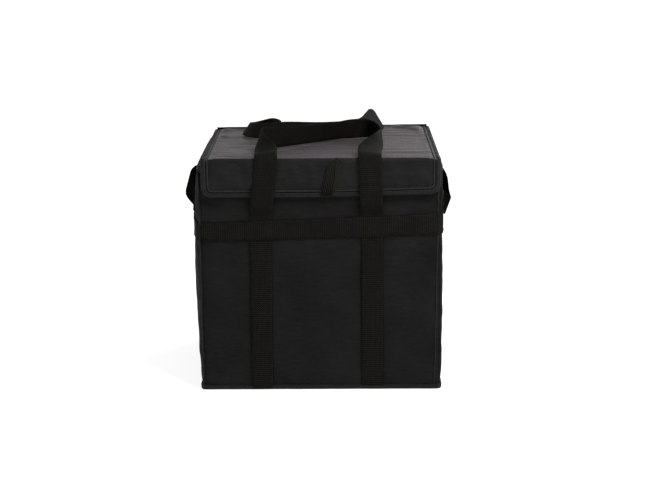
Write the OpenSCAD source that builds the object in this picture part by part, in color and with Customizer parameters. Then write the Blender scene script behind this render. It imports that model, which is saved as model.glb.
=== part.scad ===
// Insulated food carrier: a soft square bag with a padded lid that folds down over the front.
// Origin at the centre of the base, +Z up, front at -Y. Millimetres.

/* [Body] */
// Width of the body, left to right
body_w = 406; // [380:1:430]
// Depth of the body, front to back
body_d = 330; // [310:1:350]
// Height of the side walls, under the rim's binding
wall_h = 385; // [365:1:405]
// Thickness of the foam in the walls, the base and the lid
foam_t = 10; // [6:1:12]
// Thickness of the woven cover and of the liner
skin_t = 1; // [0.6:0.1:1.2]
// Thickness of the board under the base's foam
board_t = 3; // [2:0.5:4]

/* [Lid] */
// How far the lid stands in from the body at each side
lid_inset = 3; // [1:0.5:6]
// How far the flap hangs down from the lid's top
flap_drop = 70; // [55:1:80]
// Gap between the body's front and the flap's lining
flap_gap = 3.4; // [3.2:0.1:5]
// Radius of the flap's two lower corners
flap_r = 22; // [10:1:30]
// Width of the bound edge round the lid and flap
edge_w = 8; // [5:1:12]

/* [Webbing] */
// Width of the straps, the waist band and the handles
web_w = 38; // [32:1:40]
// Thickness of the webbing
web_t = 1.8; // [1.2:0.1:2.2]
// Distance of each strap's middle from the body's middle
strap_x = 93; // [80:1:105]
// Height of the waist band's lower edge
band_z = 261; // [245:1:268]
// How far the waist band stands out, straps included
band_t = 4; // [3.4:0.1:5]

/* [Side handles] */
// Length of the free part of each side handle
grab_l = 194; // [160:2:220]
// Length of each sewn end
grab_sewn = 30; // [20:1:40]
// How far the middle bows out from the wall
grab_bow = 15; // [12:1:20]
// How far the right handle's middle hangs down
right_sag = 24; // [0:1:26]
// How far the left handle's middle hangs down, below 0 where it stands up
left_sag = -6; // [-10:1:20]

/* [Hidden] */
$fn = 48;
half_w = body_w / 2;
half_d = body_d / 2;
wall_t = foam_t + 2 * skin_t;
inner_w = body_w - 2 * (wall_t - skin_t);
inner_d = body_d - 2 * (wall_t - skin_t);
post = 5;
base_bind_h = 8;
base_bind_t = 2;
rim_t = 2;
lid_z = wall_h + rim_t + 1;
lid_top = lid_z + wall_t;
lid_w = body_w - 2 * lid_inset;
flap_t = foam_t;
flap_back = -half_d - flap_gap;
flap_front = flap_back - flap_t;
flap_low = lid_top - flap_drop;
flap_top = lid_z - 0.5;
band_top = band_z + web_w;
strap_low = skin_t + base_bind_h;
leg_gap = 2;
leg_y = -flap_front + leg_gap;
leg_low = band_top + 1.5;
leg_kink = flap_low - 2;
leg_foot_y = half_d + band_t;
loop_z = lid_top + leg_gap;
turn_end = half_d - 15;
tape_w = 120;
tape_h = 25;
tape_t = 1.5;
tape_z = flap_low + 8;
tab_t = 3;
grab_z = band_top + 1.5;
cover_color = "#262526";
lid_color = "#4a4648";
web_color = "#1b1b18";
foam_color = "#e8e8e4";
foil_color = "#b9bcc0";

// The loops' middle lines on the lid, seen from above, from the left turn to the right one
FRONT_LOOP = [
    [-93, -149], [-106, -130], [-108, -112], [-98, -98], [-76, -89],
    [-37, -71], [5, -34], [40, -3], [75, 15], [97, 2],
    [105, -33], [106, -77], [102, -116], [93, -149]
];
BACK_LOOP = [
    [-93, 149], [-110, 135], [-125, 108], [-131, 80], [-128, 52], [-118, 26],
    [-100, 16], [-69, 16], [1, 26], [49, 35], [84, 47], [102, 72],
    [107, 102], [102, 132], [93, 149]
];
// The ribbon tab's outline on the flap, from its sewn foot
TAB = [
    [1, 5], [19, 5], [24, 26], [35, 42], [36, 54], [27, 63], [20, 61], [9, 28]
];

// A box between two corners
module block(low, high) {
    translate(low)
        cube(high - low);
}

// The same thing at the front, or turned round to the back
module at_back() {
    mirror([0, 1, 0])
        children();
}

module at_left() {
    mirror([1, 0, 0])
        children();
}

// Unit direction from one point to the next
function heading(a, b) = (b - a) / norm(b - a);

// Direction of a path at point i
function along(path, i) =
    let (before = max(i - 1, 0), after = min(i + 1, len(path) - 1))
    heading(path[before], path[after]);

// A path's points moved sideways by d
function beside(path, d) = [
    for (i = [0:len(path) - 1])
        let (u = along(path, i))
        path[i] + d * [-u[1], u[0]]
];

function backwards(list) = [for (i = [len(list) - 1:-1:0]) list[i]];

// A strip of a given thickness along a path
module strip(path, thick) {
    polygon(concat(beside(path, thick / 2), backwards(beside(path, -thick / 2))));
}

// Points of a quarter arc about a centre
function quarter(centre, r, from) = [
    for (a = [from:15:from + 90])
        centre + r * [cos(a), sin(a)]
];

module wall_skin_x(z_low) {
    block([-half_w + post, -half_d, z_low], [half_w - post, -half_d + skin_t, wall_h]);
}

module wall_skin_y(z_low) {
    block([half_w - skin_t, -half_d + post, z_low], [half_w, half_d - post, wall_h]);
}

module front_cover() {
    color(cover_color)
        wall_skin_x(skin_t);
}

module back_cover() {
    color(cover_color)
        at_back()
            wall_skin_x(skin_t);
}

module right_cover() {
    color(cover_color)
        wall_skin_y(skin_t);
}

module left_cover() {
    color(cover_color)
        at_left()
            wall_skin_y(skin_t);
}

module base_cover() {
    color(cover_color)
        block([-half_w, -half_d, 0], [half_w, half_d, skin_t]);
}

module foam_x() {
    block(
        [-half_w + post, -half_d + skin_t, skin_t],
        [half_w - post, -half_d + skin_t + foam_t, wall_h]
    );
}

module foam_y() {
    block(
        [half_w - skin_t - foam_t, -inner_d / 2, skin_t],
        [half_w - skin_t, inner_d / 2, wall_h]
    );
}

module front_foam() {
    color(foam_color)
        foam_x();
}

module back_foam() {
    color(foam_color)
        at_back()
            foam_x();
}

module right_foam() {
    color(foam_color)
        foam_y();
}

module left_foam() {
    color(foam_color)
        at_left()
            foam_y();
}

module stiffener_board() {
    color("#303030")
        block([-inner_w / 2, -inner_d / 2, skin_t], [inner_w / 2, inner_d / 2, skin_t + board_t]);
}

module base_foam() {
    low = skin_t + board_t;
    color(foam_color)
        block([-inner_w / 2, -inner_d / 2, low], [inner_w / 2, inner_d / 2, low + foam_t]);
}

// One welded tub of foil, open at the top
module liner_tub() {
    low = skin_t + board_t + foam_t;
    color(foil_color)
        difference() {
            block([-inner_w / 2, -inner_d / 2, low], [inner_w / 2, inner_d / 2, wall_h]);
            block(
                [-inner_w / 2 + skin_t, -inner_d / 2 + skin_t, low + skin_t],
                [inner_w / 2 - skin_t, inner_d / 2 - skin_t, wall_h + 1]
            );
        }
}

// Four lengths of tape over the walls' top edges, meeting at the corners
module rim_binding() {
    low = wall_h;
    high = wall_h + rim_t;
    color(web_color) {
        for (side = [0, 1])
            mirror([0, side, 0])
                block([-half_w, -half_d, low], [half_w, -half_d + wall_t, high]);
        for (side = [0, 1])
            mirror([side, 0, 0])
                block([half_w - wall_t, -half_d + wall_t, low], [half_w, half_d - wall_t, high]);
    }
}

module corner_bindings() {
    color(web_color)
        for (x = [0, 1], y = [0, 1])
            mirror([x, 0, 0])
                mirror([0, y, 0])
                    block([half_w - post, half_d - post, skin_t], [half_w, half_d, wall_h]);
}

// A ring round the body, standing out from its walls
module body_ring(z_low, z_high, out) {
    difference() {
        block([-half_w - out, -half_d - out, z_low], [half_w + out, half_d + out, z_high]);
        block([-half_w, -half_d, z_low - 1], [half_w, half_d, z_high + 1]);
    }
}

module base_binding() {
    color(web_color)
        body_ring(skin_t, strap_low, base_bind_t);
}

module front_strap(x) {
    block(
        [x - web_w / 2, -half_d - web_t, strap_low],
        [x + web_w / 2, -half_d, band_top]
    );
}

module front_left_strap() {
    color(web_color)
        front_strap(-strap_x);
}

module front_right_strap() {
    color(web_color)
        front_strap(strap_x);
}

module back_left_strap() {
    color(web_color)
        at_back()
            front_strap(-strap_x);
}

module back_right_strap() {
    color(web_color)
        at_back()
            front_strap(strap_x);
}

// The band runs over the straps and is sewn through them
module waist_band() {
    color(web_color)
        difference() {
            body_ring(band_z, band_top, band_t);
            for (x = [-strap_x, strap_x]) {
                front_strap(x);
                at_back()
                    front_strap(x);
            }
        }
}

module loop_tape() {
    color("#202020")
        block(
            [-tape_w / 2, -half_d - tape_t, tape_z],
            [tape_w / 2, -half_d, tape_z + tape_h]
        );
}

// The cloth that the lid swings on, sewn to the back wall
module hinge_strip() {
    reach = lid_w / 2 - edge_w;
    color(cover_color)
        block([-reach, half_d, lid_z - 24], [reach, half_d + 1.5, lid_top - 0.5]);
}

module lid_layer(low, high) {
    reach = lid_w / 2 - edge_w;
    block([-reach, flap_front, low], [reach, half_d, high]);
}

module lid_cover() {
    color(lid_color)
        lid_layer(lid_top - skin_t, lid_top);
}

module lid_foam() {
    color(foam_color)
        lid_layer(lid_z + skin_t, lid_top - skin_t);
}

module lid_liner() {
    color(foil_color)
        lid_layer(lid_z, lid_z + skin_t);
}

module lid_bindings() {
    color(web_color)
        for (side = [0, 1])
            mirror([side, 0, 0])
                block([lid_w / 2 - edge_w, flap_front, lid_z], [lid_w / 2, half_d, lid_top]);
}

// The flap's outline, drawn in by a given width at its sides and lower edge
module flap_outline(in) {
    x = lid_w / 2 - in;
    r = flap_r - in;
    low = flap_low + in;
    polygon(concat(
        [[-x, flap_top]],
        quarter([-x + r, low + r], r, 180),
        quarter([x - r, low + r], r, 270),
        [[x, flap_top]]
    ));
}

// A sheet in the flap's plane, from one depth to another
module flap_sheet(front, back) {
    translate([0, back, 0])
        rotate([90, 0, 0])
            linear_extrude(back - front)
                children();
}

module flap_cover() {
    color(cover_color)
        flap_sheet(flap_front, flap_front + skin_t)
            flap_outline(edge_w);
}

module flap_foam() {
    color(foam_color)
        flap_sheet(flap_front + skin_t, flap_back - skin_t)
            flap_outline(edge_w);
}

module flap_liner() {
    color(foil_color)
        flap_sheet(flap_back - skin_t, flap_back)
            flap_outline(edge_w);
}

module flap_binding() {
    color(web_color)
        flap_sheet(flap_front, flap_back)
            difference() {
                flap_outline(0);
                flap_outline(edge_w);
            }
}

module hook_tape() {
    color("#161616")
        block(
            [-tape_w / 2, flap_back, tape_z],
            [tape_w / 2, flap_back + tape_t, tape_z + tape_h]
        );
}

// A ribbon folded into a loop, its ends sewn under the flap's lower edge
module pull_tab() {
    back = flap_front - 0.3;
    color("#1a1a17")
        translate([0, 0, flap_low])
            flap_sheet(back - tab_t, back)
                polygon(TAB);
}

// One leg in side view: off the waist band, out past the flap and up to the lid's edge
module leg_profile() {
    polygon([
        [-leg_foot_y, leg_low],
        [-leg_foot_y - web_t, leg_low],
        [-leg_y - web_t, leg_kink],
        [-leg_y - web_t, loop_z - 0.5],
        [-leg_y, loop_z - 0.5],
        [-leg_y, leg_kink]
    ]);
}

module handle_legs() {
    for (x = [-strap_x, strap_x])
        translate([x - web_w / 2, 0, 0])
            rotate([90, 0, 90])
                linear_extrude(web_w)
                    leg_profile();
}

module handle_turns() {
    for (x = [-strap_x, strap_x])
        block(
            [x - web_w / 2, -leg_y - web_t, loop_z],
            [x + web_w / 2, -turn_end, loop_z + web_t]
        );
}

// The loop lies on the lid on its edge
module handle_loop(path) {
    translate([0, 0, loop_z])
        linear_extrude(web_w)
            strip(path, web_t);
}

module front_handle_legs() {
    color(web_color)
        handle_legs();
}

module back_handle_legs() {
    color(web_color)
        at_back()
            handle_legs();
}

module front_handle_turns() {
    color(web_color)
        handle_turns();
}

module back_handle_turns() {
    color(web_color)
        at_back()
            handle_turns();
}

module front_handle_loop() {
    color(web_color)
        handle_loop(FRONT_LOOP);
}

module back_handle_loop() {
    color(web_color)
        handle_loop(BACK_LOOP);
}

// The bow's middle line, half a wave out from the wall
function grab_path() = [
    for (s = [-1:0.125:1])
        [half_w + web_t + grab_bow * cos(90 * s), s * grab_l / 2]
];

// One long edge of the handle seen from the side, at a height z where it is sewn down
function grab_edge(z, sag) = [
    for (s = [-1.02:0.12:1.02])
        [s * grab_l / 2, z - (abs(s) < 1 ? sag * pow(cos(90 * s), 2) : 0)]
];

// The bow seen from above, cut to the sagging outline seen from the side
module grab_handle(sag) {
    reach = half_w + grab_bow + web_w;
    intersection() {
        translate([0, 0, grab_z - web_w])
            linear_extrude(3 * web_w)
                strip(grab_path(), web_t);
        rotate([90, 0, 90])
            linear_extrude(reach)
                polygon(concat(
                    grab_edge(grab_z, sag),
                    backwards(grab_edge(grab_z + web_w, sag))
                ));
    }
}

module right_side_handle() {
    color(web_color)
        grab_handle(right_sag);
}

module left_side_handle() {
    color(web_color)
        at_left()
            grab_handle(left_sag);
}

module side_handle_anchors() {
    near = grab_l / 2 + 1;
    color(web_color)
        for (x = [0, 1], y = [0, 1])
            mirror([x, 0, 0])
                mirror([0, y, 0])
                    block([half_w, near, grab_z], [half_w + web_t, near + grab_sewn, grab_z + web_w]);
}

front_cover();
back_cover();
left_cover();
right_cover();
base_cover();
front_foam();
back_foam();
left_foam();
right_foam();
base_foam();
stiffener_board();
liner_tub();
rim_binding();
corner_bindings();
base_binding();
waist_band();
front_left_strap();
front_right_strap();
back_left_strap();
back_right_strap();
side_handle_anchors();
loop_tape();
hinge_strip();
lid_cover();
lid_foam();
lid_liner();
lid_bindings();
flap_cover();
flap_foam();
flap_liner();
flap_binding();
hook_tape();
pull_tab();
front_handle_legs();
front_handle_turns();
front_handle_loop();
back_handle_legs();
back_handle_turns();
back_handle_loop();
left_side_handle();
right_side_handle();
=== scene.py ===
"""Insulated food carrier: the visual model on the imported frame. Metres, +Z up, front at -Y."""

import math

import bpy
import numpy as np
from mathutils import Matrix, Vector, noise
from mathutils.bvhtree import BVHTree


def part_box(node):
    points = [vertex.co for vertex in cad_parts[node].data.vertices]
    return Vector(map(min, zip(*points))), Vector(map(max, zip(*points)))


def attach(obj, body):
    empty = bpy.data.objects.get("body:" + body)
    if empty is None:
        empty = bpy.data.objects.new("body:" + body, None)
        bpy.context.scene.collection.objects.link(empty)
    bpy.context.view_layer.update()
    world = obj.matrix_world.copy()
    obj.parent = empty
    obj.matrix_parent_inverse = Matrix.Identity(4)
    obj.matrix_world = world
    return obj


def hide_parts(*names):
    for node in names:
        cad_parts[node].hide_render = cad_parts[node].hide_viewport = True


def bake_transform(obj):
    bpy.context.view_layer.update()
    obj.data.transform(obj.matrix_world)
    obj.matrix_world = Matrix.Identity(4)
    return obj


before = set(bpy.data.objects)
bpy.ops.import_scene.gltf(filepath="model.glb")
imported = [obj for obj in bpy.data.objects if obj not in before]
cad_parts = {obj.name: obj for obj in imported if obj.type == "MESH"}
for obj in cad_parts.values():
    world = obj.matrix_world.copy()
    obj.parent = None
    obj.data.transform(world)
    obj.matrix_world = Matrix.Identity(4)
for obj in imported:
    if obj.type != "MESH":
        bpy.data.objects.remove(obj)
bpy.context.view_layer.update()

MM = 0.001

# ---------------------------------------------------------------- sizes, read from the frame
HALF_W, HALF_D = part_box("base_cover")[1][:2]
WALL_LOW, WALL_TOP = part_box("front_cover")[0][2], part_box("front_cover")[1][2]
RIM_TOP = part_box("rim_binding")[1][2]
RIM_T = RIM_TOP - WALL_TOP + 10 * MM  # how wide the rim's binding is across a wall
LID_LOW, LID_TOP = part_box("lid_liner")[0][2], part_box("lid_cover")[1][2]
LID_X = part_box("lid_bindings")[1][0]
FLAP_FRONT, FLAP_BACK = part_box("flap_binding")[0][1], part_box("flap_binding")[1][1]
FLAP_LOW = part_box("flap_binding")[0][2]
BAND_LOW, BAND_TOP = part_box("waist_band")[0][2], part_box("waist_band")[1][2]
STRAP_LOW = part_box("front_left_strap")[0][2]
WEB_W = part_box("front_left_strap")[1][0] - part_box("front_left_strap")[0][0]
STRAP_X = (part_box("front_right_strap")[1][0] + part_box("front_right_strap")[0][0]) / 2
LINER_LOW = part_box("liner_tub")[0][2]
LINER_X, LINER_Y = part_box("liner_tub")[1][0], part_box("liner_tub")[1][1]
BASE_BIND_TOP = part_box("base_binding")[1][2]
GRAB_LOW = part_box("side_handle_anchors")[0][2]

WEB_T = 1.7 * MM  # webbing thickness
FRONT_SHIFT = -6.5 * MM  # how far the front straps were sewn off centre
PAD_HALF = 5.4 * MM  # half the lid panel's thickness
EDGE_HALF = 1.8 * MM  # half its thickness where the binding holds it
FOLD_R = 1.4 * MM  # radius of the lid panel's middle at the front fold


# ---------------------------------------------------------------- materials
class Shader:
    """A material with a Principled shader, and short ways to add nodes to it."""

    def __init__(self, name):
        self.material = bpy.data.materials.new(name)
        self.material.use_nodes = True
        self.tree = self.material.node_tree
        self.bsdf = self.tree.nodes["Principled BSDF"]

    def node(self, kind, inputs=None, **settings):
        made = self.tree.nodes.new(kind)
        for key, value in settings.items():
            setattr(made, key, value)
        for key, value in (inputs or {}).items():
            self.feed(made.inputs[key], value)
        return made

    def feed(self, socket, value):
        if isinstance(value, bpy.types.NodeSocket):
            self.tree.links.new(value, socket)
        else:
            socket.default_value = value

    def math(self, operation, a, b=0.0):
        return self.node("ShaderNodeMath", {0: a, 1: b}, operation=operation).outputs[0]

    def mix(self, share, dark, light):
        made = self.node("ShaderNodeMix", data_type="RGBA")
        self.feed(made.inputs["Factor"], share)
        self.feed(made.inputs["A"], (*dark, 1))
        self.feed(made.inputs["B"], (*light, 1))
        return made.outputs["Result"]

    def uv(self):
        """The texture plane in metres, as two sockets."""
        parts = self.node("ShaderNodeSeparateXYZ", {0: self.node("ShaderNodeTexCoord").outputs["UV"]})
        return parts.outputs["X"], parts.outputs["Y"]

    def wave(self, value, pitch):
        """A sine of the given pitch, from -1 to 1."""
        return self.math("SINE", self.math("MULTIPLY", value, 2 * math.pi / pitch))

    def cloud(self, scale, stretch=(1, 1, 1), detail=3.0, rough=0.55, kind="Object"):
        """Noise from 0 to 1 in object space, or over the texture plane."""
        place = self.node("ShaderNodeTexCoord").outputs[kind]
        scaled = self.node("ShaderNodeMapping", {"Vector": place, "Scale": stretch})
        made = self.node(
            "ShaderNodeTexNoise",
            {"Vector": scaled.outputs[0], "Scale": scale, "Detail": detail, "Roughness": rough},
        )
        return made.outputs["Fac"]

    def bump(self, height, distance, below=None):
        made = self.node("ShaderNodeBump", {"Height": height, "Distance": distance, "Strength": 1.0})
        if below is not None:
            self.feed(made.inputs["Normal"], below)
        return made.outputs["Normal"]

    def finish(self, **sockets):
        for key, value in sockets.items():
            self.feed(self.bsdf.inputs[key.replace("_", " ")], value)
        return self.material


def grey(level):
    return (level, level, level)


def ramp(shader, value, low, high):
    """value from low..high to 0..1, held at the ends."""
    made = shader.node("ShaderNodeMapRange", {"Value": value, "From Min": low, "From Max": high})
    return made.outputs["Result"]


WHITE = (1.0, 1.0, 1.0, 1.0)


def woven_cloth(name, dark, light, sheen, specular, relief, rough, gloss=WHITE):
    """Plain-weave polyester: crossed threads, slubs mostly along the weft, and soft unevenness."""
    s = Shader(name)
    u, v = s.uv()
    pitch = 0.9 * MM
    threads = s.math("MULTIPLY", s.wave(u, pitch), s.wave(v, pitch))
    weft = s.cloud(1.0, (38, 620, 1), 3.0, kind="UV")
    warp = s.cloud(1.0, (900, 60, 1), 2.0, kind="UV")
    slubs = s.math("ADD", s.math("MULTIPLY", weft, 0.7), s.math("MULTIPLY", warp, 0.3))
    patches = s.cloud(16, detail=4.0)
    uneven = s.math("ADD", s.math("MULTIPLY", slubs, 0.65), s.math("MULTIPLY", patches, 0.35))
    tone = ramp(s, uneven, 0.36, 0.64)
    creases = s.cloud(1.0, (12, 42, 1), 4.0, kind="UV")
    soft = s.bump(creases, 2.2 * relief * MM, s.bump(s.cloud(70, detail=3.0), 0.8 * relief * MM))
    slubbed = s.bump(slubs, 0.5 * MM, soft)
    fine = s.bump(threads, 0.06 * MM, slubbed)
    return s.finish(
        Base_Color=s.mix(tone, dark, light),
        Roughness=s.math("ADD", s.math("MULTIPLY", slubs, 0.2), rough - 0.1),
        Normal=fine,
        Sheen_Weight=sheen,
        Sheen_Roughness=0.35,
        Specular_IOR_Level=specular,
        Specular_Tint=gloss,
    )


def ribbed_webbing(name, dark, light, gloss, column=2.1 * MM, rib=3.6 * MM):
    """Polypropylene webbing: zigzag ribs in columns, their raised parts coloured lighter as a painted
    highlight.
    """
    s = Shader(name)
    u, v = s.uv()
    saw = s.math("FRACT", s.math("DIVIDE", u, 2 * column))
    zigzag = s.math("ABSOLUTE", s.math("SUBTRACT", s.math("MULTIPLY", saw, 2.0), 1.0))
    phase = s.math("ADD", v, s.math("MULTIPLY", zigzag, column))
    ribs = s.wave(phase, rib)
    columns = s.wave(u, column)
    height = s.math("ADD", s.math("MULTIPLY", ribs, 0.6), s.math("MULTIPLY", columns, 0.4))
    strands = s.cloud(1.0, (2600, 500, 1), 2.0, kind="UV")
    worn = s.cloud(45, detail=3.0)
    rough = s.bump(strands, 0.15 * MM)
    uneven = s.math("ADD", s.math("MULTIPLY", strands, 0.8), s.math("MULTIPLY", worn, 0.2))
    # Colour: random strand tone, plus a painted highlight on the raised ribs.
    rib_highlight_and_strands = s.math("ADD", s.math("MULTIPLY", height, 0.5), uneven)
    return s.finish(
        Base_Color=s.mix(ramp(s, rib_highlight_and_strands, 0.5, 0.95), dark, light),
        Roughness=0.7,
        Normal=s.bump(height, 0.8 * MM, rough),
        Specular_IOR_Level=gloss,
    )


def grosgrain(name, dark, light):
    """Binding tape: fine ribs across its length."""
    s = Shader(name)
    u, v = s.uv()
    ribs = s.wave(v, 0.9 * MM)
    worn = s.cloud(180, detail=3.0)
    tone = ramp(s, s.math("ADD", s.math("MULTIPLY", ribs, 0.2), worn), 0.3, 0.75)
    return s.finish(
        Base_Color=s.mix(tone, dark, light),
        Roughness=0.6,
        Normal=s.bump(ribs, 0.12 * MM, s.bump(worn, 0.5 * MM)),
        Specular_IOR_Level=0.12,
    )


def twisted_thread(name, dark, light):
    """Sewing thread: a fine twist round each stitch."""
    s = Shader(name)
    u, v = s.uv()
    twist = s.wave(s.math("ADD", u, v), 0.6 * MM)
    return s.finish(
        Base_Color=s.mix(ramp(s, twist, -1, 1), dark, light),
        Roughness=0.5,
        Normal=s.bump(twist, 0.05 * MM),
        Specular_IOR_Level=0.1,
    )


def foil(name):
    """Metallised film over foam: sharp crinkles and an embossed grid."""
    s = Shader(name)
    place = s.node("ShaderNodeTexCoord").outputs["Object"]
    crinkle = s.node("ShaderNodeTexVoronoi", {"Vector": place, "Scale": 85.0, "Randomness": 1.0})
    u, v = s.uv()
    grid = s.math("MULTIPLY", s.wave(u, 9 * MM), s.wave(v, 9 * MM))
    dents = s.bump(crinkle.outputs["Distance"], 0.9 * MM, s.bump(s.cloud(60, detail=4.0), 1.2 * MM))
    tone = ramp(s, s.cloud(30, detail=4.0), 0.3, 0.7)
    return s.finish(
        Base_Color=s.mix(tone, (0.62, 0.64, 0.67), (0.82, 0.83, 0.85)),
        Metallic=1.0,
        Roughness=ramp(s, s.cloud(90, detail=2.0), -0.6, 1.9),
        Normal=s.bump(grid, 0.12 * MM, dents),
    )


def cell_foam(name):
    """Closed-cell foam: small cells in an uneven white."""
    s = Shader(name)
    place = s.node("ShaderNodeTexCoord").outputs["Object"]
    cells = s.node("ShaderNodeTexVoronoi", {"Vector": place, "Scale": 900.0})
    tone = ramp(s, s.cloud(200, detail=2.0), 0.3, 0.7)
    return s.finish(
        Base_Color=s.mix(tone, (0.72, 0.72, 0.69), (0.86, 0.86, 0.84)),
        Roughness=0.8,
        Normal=s.bump(cells.outputs["Distance"], 0.25 * MM),
    )


def moulded_sheet(name, tone_low, tone_high):
    """A plastic board with a fine speckled grain."""
    s = Shader(name)
    speckle = s.cloud(700.0, detail=2.0)
    return s.finish(
        Base_Color=s.mix(ramp(s, speckle, 0.3, 0.7), tone_low, tone_high),
        Roughness=0.6,
        Normal=s.bump(speckle, 0.1 * MM),
    )


def brushed_tape(name, pitch, deep):
    """Hook or loop tape: rows of little hooks, or a brushed pile."""
    s = Shader(name)
    u, v = s.uv()
    rows = s.math("MULTIPLY", s.wave(u, pitch), s.wave(v, pitch))
    pile = s.cloud(1400, detail=3.0)
    tone = ramp(s, s.math("ADD", rows, pile), -0.3, 1.4)
    return s.finish(
        Base_Color=s.mix(tone, grey(0.008), grey(0.03)),
        Roughness=0.7,
        Normal=s.bump(rows, deep, s.bump(pile, 0.4 * MM)),
        Sheen_Weight=0.1,
    )


COVER_DARK, COVER_LIGHT = (0.0045, 0.0045, 0.0046), (0.0106, 0.0106, 0.0107)
# The lid's top is the same cloth as the cover and flap. Its colours are some three times lighter: painted
# light for the light that falls on the top.
LID_DARK_PAINTED_LIT, LID_LIGHT_PAINTED_LIT = (0.0245, 0.0195, 0.022), (0.0355, 0.0295, 0.033)
LID_GLOSS = (1.0, 0.9, 0.95, 1)
WEB_DARK, WEB_LIGHT = (0.0005, 0.0005, 0.0002), (0.025, 0.0244, 0.02)
LOOP_DARK, LOOP_LIGHT = (0.0004, 0.0004, 0.0002), (0.018, 0.0176, 0.0148)
GRAB_DARK, GRAB_LIGHT = (0.0004, 0.0004, 0.0002), (0.016, 0.0156, 0.013)
RIBBON_DARK, RIBBON_LIGHT = (0.0006, 0.0006, 0.0004), (0.018, 0.0176, 0.015)
MATERIALS = {
    "cover": woven_cloth("cover_cloth", COVER_DARK, COVER_LIGHT, 0.0, 0.045, 1.8, 0.8),
    "flap": woven_cloth("flap_cloth", grey(0.0044), grey(0.0105), 0.0, 0.08, 1.8, 0.7),
    # lid cloth: the cover's fabric painted lighter, painted light on the lid's top
    "lid": woven_cloth("lid_cloth_painted_light", LID_DARK_PAINTED_LIT, LID_LIGHT_PAINTED_LIT, 0.12, 0.24, 1.7, 0.5, LID_GLOSS),
    "web": ribbed_webbing("webbing_black", WEB_DARK, WEB_LIGHT, 0.04),
    "loop": ribbed_webbing("handle_webbing", LOOP_DARK, LOOP_LIGHT, 0.062),
    "grab": ribbed_webbing("side_webbing", GRAB_DARK, GRAB_LIGHT, 0.0),
    "ribbon": ribbed_webbing("ribbon_black", RIBBON_DARK, RIBBON_LIGHT, 0.04, 3 * MM, 400 * MM),
    "binding": grosgrain("binding_tape", (0.004, 0.004, 0.0037), (0.0118, 0.0116, 0.0108)),
    # The binding's fold: the same tape painted lighter, a painted highlight.
    "ridge": grosgrain("binding_fold_painted_highlight", (0.009, 0.0088, 0.0084), (0.024, 0.0236, 0.0228)),
    "thread": twisted_thread("sewing_thread", (0.002, 0.002, 0.002), (0.008, 0.008, 0.0076)),
    "light_thread": twisted_thread("edge_thread", (0.012, 0.012, 0.012), (0.035, 0.035, 0.034)),
    "foil": foil("foil_liner"),
    "foam": cell_foam("white_foam"),
    "board": moulded_sheet("board_sheet", (0.03, 0.03, 0.03), (0.06, 0.06, 0.058)),
    "hooks": brushed_tape("hook_tape", 1.6 * MM, 0.5 * MM),
    "loops": brushed_tape("loop_tape", 1.1 * MM, 0.2 * MM),
}


# ---------------------------------------------------------------- mesh helpers
def add_mesh(name, verts, faces, material, uvs=None):
    """A smooth mesh object. uvs holds a pair for each corner of each face, or None to lay it out by box."""
    mesh = bpy.data.meshes.new(name)
    mesh.from_pydata([tuple(v) for v in verts], [], faces)
    layer = mesh.uv_layers.new(name="UVMap")
    if uvs is not None:
        layer.data.foreach_set("uv", np.array(uvs, np.float32).ravel())
    mesh.polygons.foreach_set("use_smooth", [True] * len(mesh.polygons))
    mesh.materials.append(MATERIALS[material])
    mesh.validate()
    made = bpy.data.objects.new(name, mesh)
    bpy.context.collection.objects.link(made)
    if uvs is None:
        box_uv(made)
    return made


def box_uv(obj):
    """Lays the texture plane over each face from the axis that it faces, in metres."""
    mesh = obj.data
    layer = mesh.uv_layers[0]
    for face in mesh.polygons:
        n = [abs(x) for x in face.normal]
        keep = (1, 2) if n[0] >= max(n[1:]) else ((0, 2) if n[1] >= n[2] else (0, 1))
        for corner in face.loop_indices:
            co = mesh.vertices[mesh.loops[corner].vertex_index].co
            layer.data[corner].uv = (co[keep[0]], co[keep[1]])


def closed_grid(front, back):
    """Vertices and faces of a thin closed form from two equal grids of points."""
    front, back = np.asarray(front), np.asarray(back)
    rows, cols = front.shape[:2]
    verts = np.concatenate([front.reshape(-1, 3), back.reshape(-1, 3)])
    half = rows * cols
    faces = []
    for i in range(rows - 1):
        for j in range(cols - 1):
            a = i * cols + j
            faces.append((a, a + 1, a + cols + 1, a + cols))
            faces.append((half + a, half + a + cols, half + a + cols + 1, half + a + 1))
    for j in range(cols - 1):
        a, b = j, (rows - 1) * cols + j
        faces.append((a + 1, a, half + a, half + a + 1))
        faces.append((b, b + 1, half + b + 1, half + b))
    for i in range(rows - 1):
        a, b = i * cols, i * cols + cols - 1
        faces.append((a, a + cols, half + a + cols, half + a))
        faces.append((b + cols, b, half + b, half + b + cols))
    return verts, faces


def unit(v):
    """A vector of the same direction and length 1."""
    v = np.asarray(v, float)
    return v / max(np.linalg.norm(v), 1e-12)


def grid_of(rows, cols, at):
    """A thin closed form: at(i, j) gives its front and back point for each row and column."""
    pairs = np.array([[at(i, j) for j in cols] for i in rows])
    return closed_grid(pairs[:, :, 0], pairs[:, :, 1])


def clamp(value):
    """value, held between 0 and 1."""
    return min(max(value, 0), 1)


def lengths(path):
    """The distance along a path at each of its points."""
    return np.concatenate([[0], np.cumsum(np.linalg.norm(np.diff(path, axis=0), axis=1))])


def closed(ring):
    """A ring of points with its first one repeated at the end."""
    return np.concatenate([ring, ring[:1]])


def smooth_path(points, step):
    """Points along a Catmull-Rom curve through the given ones, about a step apart."""
    p = np.asarray(points, float)
    p = np.concatenate([[2 * p[0] - p[1]], p, [2 * p[-1] - p[-2]]])
    out = []
    for i in range(1, len(p) - 2):
        n = max(2, int(round(np.linalg.norm((p[i + 1] - p[i])[:3]) / step)))
        for t in np.arange(n) / n:
            a, b, c, d = p[i - 1 : i + 3]
            square = (2 * a - 5 * b + 4 * c - d) * t**2
            cube = (3 * b - a - 3 * c + d) * t**3
            out.append(0.5 * (2 * b + (c - a) * t + square + cube))
    out.append(p[-2])
    return np.array(out)


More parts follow.
